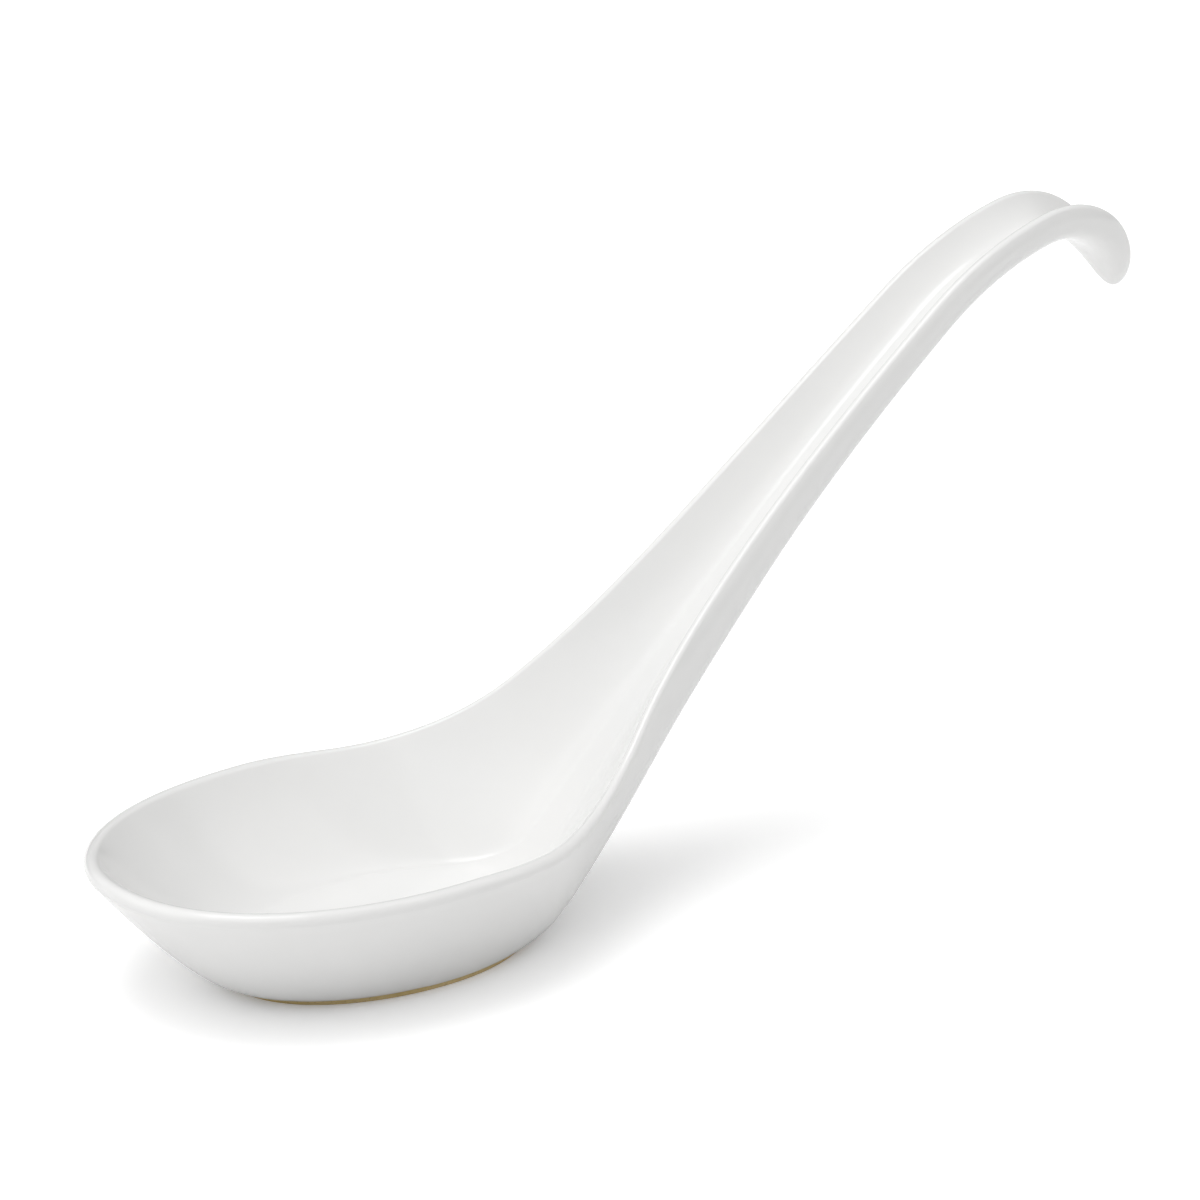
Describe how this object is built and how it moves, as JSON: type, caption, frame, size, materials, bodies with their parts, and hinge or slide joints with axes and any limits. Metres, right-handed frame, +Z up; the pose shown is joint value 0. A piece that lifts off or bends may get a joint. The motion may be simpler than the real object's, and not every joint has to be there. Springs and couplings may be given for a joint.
{
  "type": "chinese soup spoon",
  "caption": "White glazed ceramic soup spoon with a deep oval bowl, a bare flat foot and a channelled handle that curls into a hook.",
  "frame": {"origin": "on the foot's flat underside, straight under the bowl's widest place", "axes": "+X towards the handle and the hook, +Z up from the table, +Y to the left of someone looking along +X"},
  "size_m": [0.1652, 0.0508, 0.0775],
  "materials": {
    "glaze": "glossy clear glaze over a white body",
    "clay": "bare fired clay, matte and slightly grainy"
  },
  "bodies": {
    "root": {"bowl": "glaze", "handle": "glaze", "hook": "glaze", "foot": "clay"}
  },
  "joints": []
}
